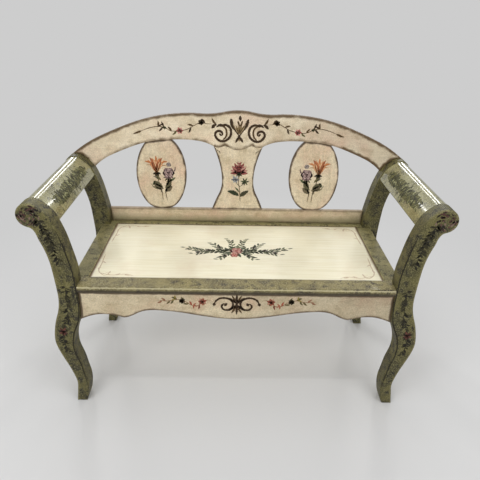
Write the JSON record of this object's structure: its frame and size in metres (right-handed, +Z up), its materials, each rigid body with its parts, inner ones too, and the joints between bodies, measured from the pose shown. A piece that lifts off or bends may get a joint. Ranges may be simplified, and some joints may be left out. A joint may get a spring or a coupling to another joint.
{
  "type": "telephone bench",
  "caption": "Wooden settee with scrolled arms on curved posts, an arched back with oval and waisted splats, and a framed flat seat over a shaped front apron, for sitting while on the telephone.",
  "frame": {"origin": "on the floor under the middle of the bench's overall box", "axes": "+X to the right of someone who stands in front of the bench, along its length; the front faces -Y; +Z up"},
  "size_m": [1.269, 0.526, 0.883],
  "materials": {
    "green_glaze": "mottled olive-green glaze under gloss varnish",
    "cream_paint": "antiqued cream paint with painted flowers, satin varnish",
    "seat_paint": "light cream paint under gloss varnish",
    "bare_wood": "unfinished hardwood",
    "steel": "plain steel"
  },
  "bodies": {
    "root": {"left_front_post": "green_glaze", "right_front_post": "green_glaze", "left_rear_post": "green_glaze", "right_rear_post": "green_glaze", "left_arm": "green_glaze", "right_arm": "green_glaze", "seat_front_rail": "green_glaze", "seat_rear_rail": "green_glaze", "seat_left_rail": "green_glaze", "seat_right_rail": "green_glaze", "left_side_apron": "green_glaze", "right_side_apron": "green_glaze", "crest_rail": "cream_paint", "lower_back_rail": "cream_paint", "centre_splat": "cream_paint", "left_oval_splat": "cream_paint", "right_oval_splat": "cream_paint", "front_apron": "cream_paint", "seat_panel": "seat_paint", "rear_apron": "bare_wood", "left_seat_batten": "bare_wood", "right_seat_batten": "bare_wood", "left_front_corner_block": "bare_wood", "right_front_corner_block": "bare_wood", "left_rear_corner_block": "bare_wood", "right_rear_corner_block": "bare_wood", "arm_dowels": "bare_wood", "crest_dowels": "bare_wood", "corner_block_screws": "steel"}
  },
  "joints": []
}
